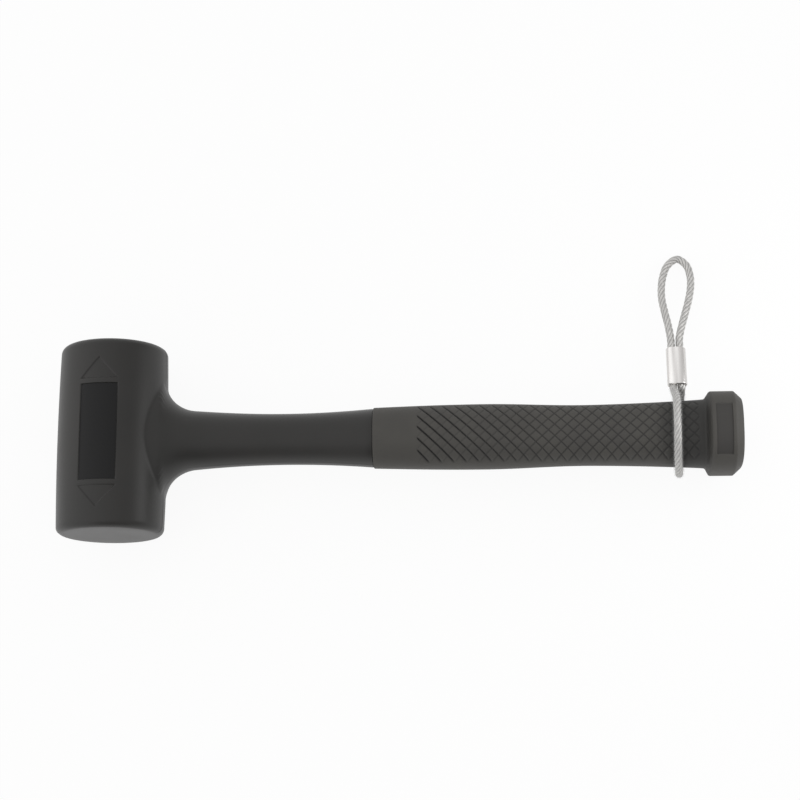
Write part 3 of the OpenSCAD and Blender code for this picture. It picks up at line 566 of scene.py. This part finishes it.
# Route of the rope about the handle's axis: from its first end in the ferrule down one leg, round the loop,
# up the other leg through the ferrule, round the eye and back into the ferrule.
EYE = np.array([
    [0.1, 5.5], [1.6, 12.2], [3.7, 19.6], [5.7, 27], [6.9, 34], [6.8, 40.2], [5.2, 45.6], [0.9, 48.9],
    [-3.8, 45.4], [-6.2, 39.6], [-7.3, 33], [-7.3, 26.6], [-6.2, 19.4], [-4.9, 12.4], [-4.1, 5.5]])
LOOP_LEAN = [-1.95, -2.2, -2.4, -2.4, -2.1, -1.4, -0.6, 0.2, 0.8, 1.1, 1.2]
loop_turn = np.radians(np.arange(46, 314.1, 26.8))
rope_route = np.array([
    *[[-LEG_X, FERRULE_IN + share * FERRULE_LEN, 0] for share in (0.55, 0.25, 0)],
    [-LEG_X, FERRULE_IN - 3.2, 2.6], [-LEG_X + 0.05, FERRULE_IN - 7.4, 7.6],
    *np.stack([LOOP_LEAN, LOOP_R * np.cos(loop_turn), LOOP_R * np.sin(loop_turn)], 1),
    [LEG_X - 0.8, FERRULE_IN - 7.4, -7.6], [LEG_X - 0.3, FERRULE_IN - 3.2, -2.6],
    *[[LEG_X, FERRULE_IN + share * FERRULE_LEN, 0] for share in (0, 0.3, 0.6, 1)],
    *np.stack([EYE[:, 0] + LEG_X, FERRULE_OUT + EYE[:, 1], 0 * EYE[:, 0]], 1),
    *[[-LEG_X, FERRULE_OUT - share * FERRULE_LEN, 0] for share in (0, 0.25)],
])
LOOP_FIRST, LOOP_LAST, TWIST_FIRST, TWIST_LAST, FINE = 3, 17, 18, 20, 24


def smooth_route(route, fine):
    """Catmull-Rom line through the route's points: each span is a cubic whose slopes are half the step
    between the neighbours of its ends, read at fine even shares."""
    ends = np.concatenate([route[:1], route, route[-1:]])
    a, b, c, d = (ends[i:len(route) - 1 + i, None] for i in range(4))
    t = (np.arange(fine) / fine)[None, :, None]
    spans = (2 * b + (c - a) * t + (2 * a - 5 * b + 4 * c - d) * t**2 + (3 * b - a - 3 * c + d) * t**3) / 2
    return np.concatenate([spans.reshape(-1, 3), route[-1:]])


def along_route(line, step):
    """Points on a line at even steps of its length, the length run at each of the line's own points, and
    that at each new point."""
    run = np.concatenate([[0], np.cumsum(np.linalg.norm(np.diff(line, axis=0), axis=1))])
    at = np.linspace(0, run[-1], int(round(run[-1] / step)) + 1)
    return np.stack([np.interp(at, run, line[:, k]) for k in range(3)], 1), run, at


def hang_tether(points):
    """Points about the tether's own centre, drooped about the handle's axis to the table and laid down."""
    droop = np.array([[1, 0, 0], [0, cos(DROOP), sin(DROOP)], [0, -sin(DROOP), cos(DROOP)]])
    return lay_down(points @ droop.T + [TETHER_X, 0, 0])


def side_frame(line, turn):
    """Two directions square to a line at each of its points. The first is a guide that turns from across
    the tether to up from it by the given angle, made square to the line."""
    direction = np.gradient(line, axis=0)
    direction /= np.linalg.norm(direction, axis=1, keepdims=True)
    guide = np.stack([np.cos(turn), 0 * turn, np.sin(turn)], 1)
    first = guide - (guide * direction).sum(1, keepdims=True) * direction
    first /= np.linalg.norm(first, axis=1, keepdims=True)
    return first, np.cross(direction, first)


def rope_skin(line, first, second, run, sides):
    """Skin of the rope: a ring at each point of the line, as far out as the round of the nearest of six
    strands, less a low ripple for their wires, and turned once in a lay. Flat ends close it. Also gives how
    far out each point is, from nothing in the gaps between the strands to one on their crests."""
    ring, lay = 2 * pi * np.arange(sides) / sides, 2 * pi * run[:, None] / ROPE_LAY
    off = (ring + pi / 6) % (pi / 3) - pi / 6
    wind_r = ROPE_D / 2 - STRAND_R
    reach = wind_r * np.cos(off) + np.sqrt(STRAND_R**2 - (wind_r * np.sin(off)) ** 2)
    round_strand = np.arcsin(reach * np.sin(off) / STRAND_R)
    reach = reach - WIRE_RIPPLE * (1 - np.cos(STRAND_WIRES * (round_strand + ring - off + lay)))
    turn = (ring + lay)[..., None]
    out = np.cos(turn) * first[:, None] + np.sin(turn) * second[:, None]
    points = line[:, None] + reach[..., None] * out
    caps = np.stack([np.arange(sides)[::-1], sides * (len(line) - 1) + np.arange(sides)])
    crest = np.clip((reach / (ROPE_D / 2) - CREST_FROM) / CREST_SPAN, 0, 1)
    return points.reshape(-1, 3), [skin_faces(len(line), sides), caps], crest.ravel()


fine_line = smooth_route(rope_route, FINE)
rope_line, rope_run, rope_at = along_route(fine_line, ROPE_STEP)
twist_from, twist_to = rope_run[[TWIST_FIRST * FINE, TWIST_LAST * FINE]]
guide_turn = pi / 2 * np.clip((rope_at - twist_from) / (twist_to - twist_from), 0, 1)
points, faces, crest = rope_skin(rope_line, *side_frame(rope_line, guide_turn), rope_at, ROPE_SIDES)
tether_wire = make_piece("tether_wire_rope", hang_tether(points), faces, sharp=80, crest=crest)

# Galvanised steel wire, drawn and zinc coated: bright grey with a soft, slightly streaked shine, and a darker
# tone in the gaps between the strands, partly grease and grime and partly painted shade. The dull zinc is
# only half as metallic as bare steel.
galvanised, place = new_material("galvanised_steel_wire")
spangle = add_node(galvanised, "ShaderNodeTexNoise", {"Vector": place}, Scale=MM_PER_M / SPANGLE, Detail=3.0)
share = add_node(galvanised, "ShaderNodeMapRange", {"Value": spangle}, From_Min=0.32, From_Max=0.68)
zinc = add_node(galvanised, "ShaderNodeMixRGB", {"Fac": share},
                Color1=linear("#c0bfbd"), Color2=linear("#dad8d5"))
# Gaps between the strands: darker, partly grease and grime, partly painted shade.
clean_and_lit = add_node(galvanised, "ShaderNodeAttribute", attribute_name="crest").outputs["Fac"]
tone = add_node(galvanised, "ShaderNodeMixRGB", {"Fac": clean_and_lit, "Color2": zinc}, Color1=linear("#9b9a98"))
polish = add_node(galvanised, "ShaderNodeMapRange", {"Value": spangle}, To_Min=0.3, To_Max=0.48)
shader = add_node(galvanised, "ShaderNodeBsdfPrincipled", {"Base Color": tone, "Roughness": polish},
                  Metallic=0.55)
add_node(galvanised, "ShaderNodeOutputMaterial", {"Surface": shader})
tether_wire.data.materials.append(galvanised)
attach(tether_wire, "tether")
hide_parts("tether_rope")

# Clear sleeve: a length of soft PVC tube slid over the loop before the ferrule is pressed, so that the
# rope doesn't mark the grip. Its two ends stop on the rope's legs, just short of the ferrule.
SLEEVE_R, SLEEVE_BORE, SLEEVE_SIDES, SLEEVE_STEP, HAZE = 2.5, 1.91, 24, 0.6, 4
sleeve_line, _, sleeve_at = along_route(fine_line[LOOP_FIRST * FINE:LOOP_LAST * FINE + 1], SLEEVE_STEP)


def tube_wall(line, first, second, outer, bore, sides):
    """Wall of a tube along a line: rings at the outer radius from one end to the other and back at the
    bore, closed into a loop."""
    turn = 2 * pi * np.arange(sides) / sides
    out = np.cos(turn)[:, None] * first[:, None] + np.sin(turn)[:, None] * second[:, None]
    walls = np.concatenate([line[:, None] + outer * out, (line[:, None] + bore * out)[::-1]])
    return walls.reshape(-1, 3), skin_faces(len(walls), sides, closed=True)


points, faces = tube_wall(sleeve_line, *side_frame(sleeve_line, 0 * sleeve_at),
                          SLEEVE_R, SLEEVE_BORE, SLEEVE_SIDES)
sleeve = make_piece("loop_clear_sleeve", hang_tether(points), faces, sharp=50)

# Soft clear PVC, extruded: see-through with a faint milky haze and a wet-looking shine.
clear_pvc, place = new_material("clear_soft_pvc")
haze = add_node(clear_pvc, "ShaderNodeTexNoise", {"Vector": place}, Scale=MM_PER_M / HAZE, Detail=2.0)
tone = add_node(clear_pvc, "ShaderNodeMixRGB", {"Fac": haze},
                Color1=linear("#c9cac9"), Color2=linear("#dededd"))
milk = add_node(clear_pvc, "ShaderNodeMapRange", {"Value": haze}, To_Min=0.06, To_Max=0.12)
shader = add_node(clear_pvc, "ShaderNodeBsdfPrincipled", {"Base Color": tone, "Alpha": milk},
                  Roughness=0.2, IOR=1.53)
add_node(clear_pvc, "ShaderNodeOutputMaterial", {"Surface": shader})
sleeve.data.materials.append(clear_pvc)
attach(sleeve, "tether")
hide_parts("loop_sleeve")

# Ferrule: a flattened oval aluminium sleeve with two bores, pressed over both legs of the rope, which
# leaves its edges rounded and fine draw lines along it.
FERRULE_W, FERRULE_T, FERRULE_BORE, EDGE_R = 9.4, 5.8, 1.91, 0.7
RAYS, CORNER_RAY, EDGE_STEPS = 96, 33, 6
DIE_AND_REFLECTION_BAND, DENT, BAND_SHIFT = 2.6, 3, -0.0031


def ferrule_half(side):
    """Half of the ferrule on one side of its middle: rays from the bore's centre out to an oval of two half
    rounds and two flats, cut at the middle plane, with one ray in each corner of the cut. A closed profile
    runs along the bore, over one end with a rounded edge, back along the outside and over the other end."""
    step = np.linspace(0, pi / 2, EDGE_STEPS + 1)
    rise = EDGE_R * (1 - np.cos(step))
    along = np.concatenate([[FERRULE_LEN, 0], rise, FERRULE_LEN - rise[::-1]])
    inset = EDGE_R * (1 - np.sin(np.concatenate([[pi / 2, pi / 2], step, step[::-1]])))
    half_t = FERRULE_T / 2 - inset[:, None]
    arc_at = (FERRULE_W - FERRULE_T) / 2 - LEG_X
    number = np.arange(RAYS)
    turned = np.minimum(number, RAYS - number)
    corner = pi - np.arctan2(half_t, LEG_X)
    past = np.clip((turned - CORNER_RAY) / (RAYS / 2 - CORNER_RAY), 0, 1)
    ray = corner * np.minimum(turned / CORNER_RAY, 1) + (pi - corner) * past
    ray = np.where(number <= RAYS / 2, ray, 2 * pi - ray)
    c, s = np.cos(ray), np.sin(ray)
    to_flat = half_t / np.maximum(np.abs(s), 1e-6)
    to_arc = arc_at * c + np.sqrt(np.maximum(half_t**2 - (arc_at * s) ** 2, 0))
    to_oval = np.where(to_flat * c < arc_at, to_flat, to_arc)
    to_middle = np.where(c < 0, LEG_X / np.maximum(-c, 1e-6), 1e6)
    reach = np.minimum(to_oval, to_middle)
    reach[:2] = FERRULE_BORE
    x = side * (LEG_X + reach * c)
    on_middle = np.abs(x) < 1e-6
    points = np.stack([np.where(on_middle, 0, x), FERRULE_IN + along[:, None] + 0 * x, reach * s], -1)
    faces = skin_faces(len(along), RAYS, closed=True)
    faces = faces[~on_middle.ravel()[faces].all(1)]
    return points.reshape(-1, 3), faces[:, ::-side]


right_half, left_half = ferrule_half(1), ferrule_half(-1)
points, faces = merge(np.concatenate([right_half[0], left_half[0]]),
                      np.concatenate([right_half[1], left_half[1] + len(right_half[0])]))
ferrule = make_piece("ferrule_sleeve", hang_tether(points), faces, sharp=50)

# Extruded aluminium, left as drawn and pressed: pale and soft, with bands about 1.5 mm wide along the rope
# from the die in its shine and relief, and small dents from the press. The bright and dull bands in its
# colour are painted reflections.
aluminium, place = new_material("pressed_aluminium")
drawn = add_node(aluminium, "ShaderNodeMapping", {"Vector": place},
                 Scale=(1, 0.02, 0.05), Location=(BAND_SHIFT, 0, 0))
bands = add_node(aluminium, "ShaderNodeTexNoise", {"Vector": drawn}, Scale=MM_PER_M / DIE_AND_REFLECTION_BAND, Detail=2.0)
dents = add_node(aluminium, "ShaderNodeTexNoise", {"Vector": place}, Scale=MM_PER_M / DENT, Detail=1.0)
share = add_node(aluminium, "ShaderNodeMapRange", {"Value": bands}, From_Min=0.38, From_Max=0.6)
# Painted reflections: the bright and dull bands of the colour.
tone = add_node(aluminium, "ShaderNodeMixRGB", {"Fac": share},
                Color1=linear("#d5d2d0"), Color2=linear("#fbf9f7"))
polish = add_node(aluminium, "ShaderNodeMapRange", {"Value": bands}, To_Min=0.18, To_Max=0.32)
relief = add_node(aluminium, "ShaderNodeMath", {0: dents, 1: bands}, operation="ADD")
bump = add_node(aluminium, "ShaderNodeBump", {"Height": relief}, Strength=0.12, Distance=0.0003)
shader = add_node(aluminium, "ShaderNodeBsdfPrincipled",
                  {"Base Color": tone, "Roughness": polish, "Normal": bump}, Metallic=0.85)
add_node(aluminium, "ShaderNodeOutputMaterial", {"Surface": shader})
ferrule.data.materials.append(aluminium)
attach(ferrule, "tether")
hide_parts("ferrule")

# Table: a sheet of white card that the hammer lies on. It shows as white, straight and in reflections, and
# keeps a faint shadow.
FLOOR_HALF, FLOOR_DROP, FLOOR_GLOW = 3.0, 0.0002, 0.93
corners = np.array([[-1, -1, 0], [1, -1, 0], [1, 1, 0], [-1, 1, 0]]) * FLOOR_HALF - [0, 0, FLOOR_DROP]
floor = make_piece("table_sheet", corners, np.array([[0, 1, 2, 3]]))
sheet, _ = new_material("white_card")
path = add_node(sheet, "ShaderNodeLightPath").outputs
seen = path["Is Camera Ray"]
for other in ("Is Glossy Ray", "Is Transmission Ray"):
    seen = add_node(sheet, "ShaderNodeMath", {0: seen, 1: path[other]}, operation="MAXIMUM")
share = add_node(sheet, "ShaderNodeMapRange", {"Value": seen}, To_Min=0.0, To_Max=FLOOR_GLOW)
card = add_node(sheet, "ShaderNodeBsdfDiffuse", Color=linear("#f4f4f3"))
glow = add_node(sheet, "ShaderNodeEmission", Color=(1, 1, 1, 1), Strength=1.0)
shader = add_node(sheet, "ShaderNodeMixShader", {0: share, 1: card, 2: glow})
add_node(sheet, "ShaderNodeOutputMaterial", {"Surface": shader})
floor.data.materials.append(sheet)

# Light: a white tent, brighter on its left side than on its right and dim in a patch on the near side, with
# a small soft lamp close to the butt. Seen straight, the tent shows as white.
DIM_WAY = (0.1, -0.9, 0.42)
LAMP_PLACE, LAMP_SIZE, LAMP_POWER = (0.3, 0.03, 0.13), 0.15, 0.16
world = bpy.data.worlds.new("studio")
bpy.context.scene.world = world
world.use_nodes = True
world.node_tree.nodes.clear()
way = add_node(world, "ShaderNodeTexCoord").outputs["Generated"]
aside = add_node(world, "ShaderNodeSeparateXYZ", {"Vector": way}).outputs["X"]
sides = add_node(world, "ShaderNodeMapRange", {"Value": aside}, From_Min=-0.85, From_Max=0.85,
                 To_Min=1.15, To_Max=0.6)
near = add_node(world, "ShaderNodeVectorMath", {0: way}, operation="DOT_PRODUCT")
near.inputs[1].default_value = DIM_WAY
dim = add_node(world, "ShaderNodeMapRange", {"Value": near.outputs["Value"]}, From_Min=0.83, From_Max=0.97,
               To_Min=1.0, To_Max=0.45)
tent = add_node(world, "ShaderNodeMath", {0: sides, 1: dim}, operation="MULTIPLY")
straight = add_node(world, "ShaderNodeLightPath").outputs["Is Camera Ray"]
strength = add_node(world, "ShaderNodeMath", {0: straight, 1: tent}, operation="MAXIMUM")
background = add_node(world, "ShaderNodeBackground", {"Strength": strength}, Color=(1, 1, 1, 1))
add_node(world, "ShaderNodeOutputWorld", {"Surface": background})
lamp = bpy.data.objects.new("butt_light", bpy.data.lights.new("butt_light", "AREA"))
lamp.data.size, lamp.data.energy = LAMP_SIZE, LAMP_POWER
lamp.location = LAMP_PLACE
lamp.rotation_euler = (-Vector(LAMP_PLACE)).to_track_quat("-Z", "Y").to_euler()
bpy.context.scene.collection.objects.link(lamp)

# Camera: it looks down on the lying hammer from above the handle, tipped a little towards the lower
# striking face, so the flat of that face just shows.
VIEW_YAW, VIEW_PITCH, VIEW_ROLL = radians(3.0), radians(13.4), radians(-0.122)
VIEW_TARGET, VIEW_AWAY = np.array([136.98, 18.46, 0]), 1000
FOCAL_PX, FRAME_PX, SENSOR_W = 2106.4, 800, 36
back = np.array([sin(VIEW_YAW) * cos(VIEW_PITCH), -sin(VIEW_PITCH), cos(VIEW_YAW) * cos(VIEW_PITCH)])
level = np.cross([0, 1, 0], back) / np.linalg.norm(np.cross([0, 1, 0], back))
rise = np.cross(back, level)
right = cos(VIEW_ROLL) * level + sin(VIEW_ROLL) * rise
upright = cos(VIEW_ROLL) * rise - sin(VIEW_ROLL) * level
camera = bpy.data.objects.new("camera", bpy.data.cameras.new("camera"))
bpy.context.scene.collection.objects.link(camera)
camera.data.sensor_width = SENSOR_W
camera.data.lens = FOCAL_PX / FRAME_PX * SENSOR_W
camera.data.clip_start, camera.data.clip_end = 0.05, 20
camera.matrix_world = Matrix.Translation(lay_down(VIEW_TARGET + back * VIEW_AWAY).tolist()) @ Matrix(
    (LAY @ np.array([right, upright, back]).T).tolist()).to_4x4()
bpy.context.scene.camera = camera
bpy.context.scene.view_settings.view_transform = "Standard"
